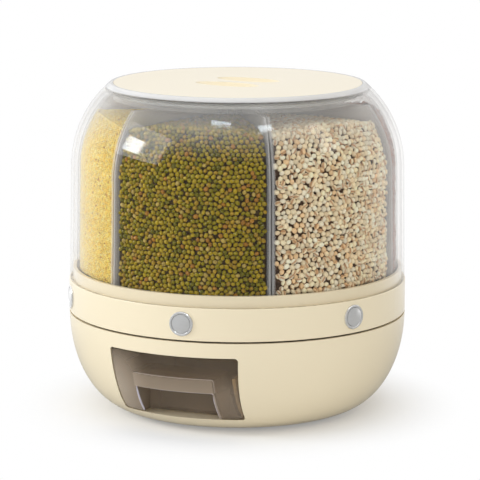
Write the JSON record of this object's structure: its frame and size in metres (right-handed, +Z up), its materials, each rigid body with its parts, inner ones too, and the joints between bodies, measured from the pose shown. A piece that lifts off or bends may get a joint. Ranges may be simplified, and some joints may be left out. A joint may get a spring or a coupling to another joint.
{
  "type": "grain dispenser",
  "caption": "Round grain dispenser: a turning hopper of clear wedge bins under a domed shell, with push-button gates, a lift-off lid and a base with a catch drawer.",
  "frame": {"origin": "on the floor under the middle of the base", "axes": "+Z up along the turning axis, -Y to the front, where the drawer is"},
  "size_m": [0.31, 0.3134, 0.301],
  "materials": {
    "cream_plastic": "gloss",
    "inner_plastic": "matte",
    "gate_plastic": "satin",
    "clear_plastic": "gloss",
    "smoked_plastic": "gloss",
    "chrome_trim": "polished",
    "screw_steel": "satin",
    "race_steel": "polished",
    "spring_steel": "satin",
    "foot_rubber": "matte",
    "seal_rubber": "matte",
    "mung_beans": "satin",
    "job_tears": "matte",
    "brown_rice": "matte",
    "red_beans": "satin",
    "red_sorghum": "satin",
    "yellow_millet": "matte"
  },
  "bodies": {
    "base": {"base_bowl": "cream_plastic", "base_feet": "foot_rubber", "base_deck": "inner_plastic", "deck_screws": "screw_steel", "drawer_sleeve": "cream_plastic", "sleeve_screws": "screw_steel", "lower_race": "race_steel", "pivot_bolt": "screw_steel", "pivot_nut": "screw_steel", "thrust_washer": "screw_steel"},
    "bearing": {"ball_cage": "gate_plastic", "bearing_balls": "race_steel"},
    "drawer": {"drawer_tray": "smoked_plastic"},
    "hopper": {"hopper_base": "cream_plastic", "housing_screws": "screw_steel", "upper_race": "race_steel", "pivot_bush": "gate_plastic", "button_bezels": "chrome_trim", "outer_shell": "clear_plastic", "grain_bin_1": "clear_plastic", "grain_bin_2": "clear_plastic", "grain_bin_3": "clear_plastic", "grain_bin_4": "clear_plastic", "grain_bin_5": "clear_plastic", "grain_bin_6": "clear_plastic", "grain_fill_1": "mung_beans", "grain_fill_2": "job_tears", "grain_fill_3": "brown_rice", "grain_fill_4": "red_beans", "grain_fill_5": "red_sorghum", "grain_fill_6": "yellow_millet", "return_spring_1": "spring_steel", "return_spring_2": "spring_steel", "return_spring_3": "spring_steel", "return_spring_4": "spring_steel", "return_spring_5": "spring_steel", "return_spring_6": "spring_steel", "gate_housing_1": "inner_plastic", "gate_housing_2": "inner_plastic", "gate_housing_3": "inner_plastic", "gate_housing_4": "inner_plastic", "gate_housing_5": "inner_plastic", "gate_housing_6": "inner_plastic"},
    "lid": {"lid_disc": "cream_plastic", "lid_rim": "clear_plastic", "lid_seal": "seal_rubber"},
    "button_1": {"button_cap_1": "chrome_trim", "gate_slide_1": "gate_plastic"},
    "button_2": {"button_cap_2": "chrome_trim", "gate_slide_2": "gate_plastic"},
    "button_3": {"button_cap_3": "chrome_trim", "gate_slide_3": "gate_plastic"},
    "button_4": {"button_cap_4": "chrome_trim", "gate_slide_4": "gate_plastic"},
    "button_5": {"button_cap_5": "chrome_trim", "gate_slide_5": "gate_plastic"},
    "button_6": {"button_cap_6": "chrome_trim", "gate_slide_6": "gate_plastic"}
  },
  "joints": [
    {"name": "hopper_turn", "type": "hinge", "parent": "base", "child": "hopper", "pos_m": [0, 0, 0.0975], "axis": [0, 0, 1], "continuous": true},
    {"name": "bearing_roll", "type": "hinge", "parent": "base", "child": "bearing", "pos_m": [0, 0, 0.09085], "axis": [0, 0, 1], "continuous": true},
    {"name": "drawer_pull", "type": "slide", "parent": "base", "child": "drawer", "axis": [0, -1, 0], "range_m": [0, 0.135]},
    {"name": "lid_lift", "type": "slide", "parent": "hopper", "child": "lid", "axis": [0, 0, 1], "range_m": [0, 0.1]},
    {"name": "button_1_press", "type": "slide", "parent": "hopper", "child": "button_1", "axis": [-0.0872, 0.9962, 0], "range_m": [0, 0.01], "stiffness_N_per_m": 300, "springref_m": -0.006, "deforming": ["return_spring_1"]},
    {"name": "button_2_press", "type": "slide", "parent": "hopper", "child": "button_2", "axis": [-0.9063, 0.4226, 0], "range_m": [0, 0.01], "stiffness_N_per_m": 300, "springref_m": -0.006, "deforming": ["return_spring_2"]},
    {"name": "button_3_press", "type": "slide", "parent": "hopper", "child": "button_3", "axis": [-0.8192, -0.5736, 0], "range_m": [0, 0.01], "stiffness_N_per_m": 300, "springref_m": -0.006, "deforming": ["return_spring_3"]},
    {"name": "button_4_press", "type": "slide", "parent": "hopper", "child": "button_4", "axis": [0.0872, -0.9962, 0], "range_m": [0, 0.01], "stiffness_N_per_m": 300, "springref_m": -0.006, "deforming": ["return_spring_4"]},
    {"name": "button_5_press", "type": "slide", "parent": "hopper", "child": "button_5", "axis": [0.9063, -0.4226, 0], "range_m": [0, 0.01], "stiffness_N_per_m": 300, "springref_m": -0.006, "deforming": ["return_spring_5"]},
    {"name": "button_6_press", "type": "slide", "parent": "hopper", "child": "button_6", "axis": [0.8192, 0.5736, 0], "range_m": [0, 0.01], "stiffness_N_per_m": 300, "springref_m": -0.006, "deforming": ["return_spring_6"]}
  ],
  "couplings": [
    {"joint": "bearing_roll", "follows": "hopper_turn", "ratio": 0.5}
  ]
}
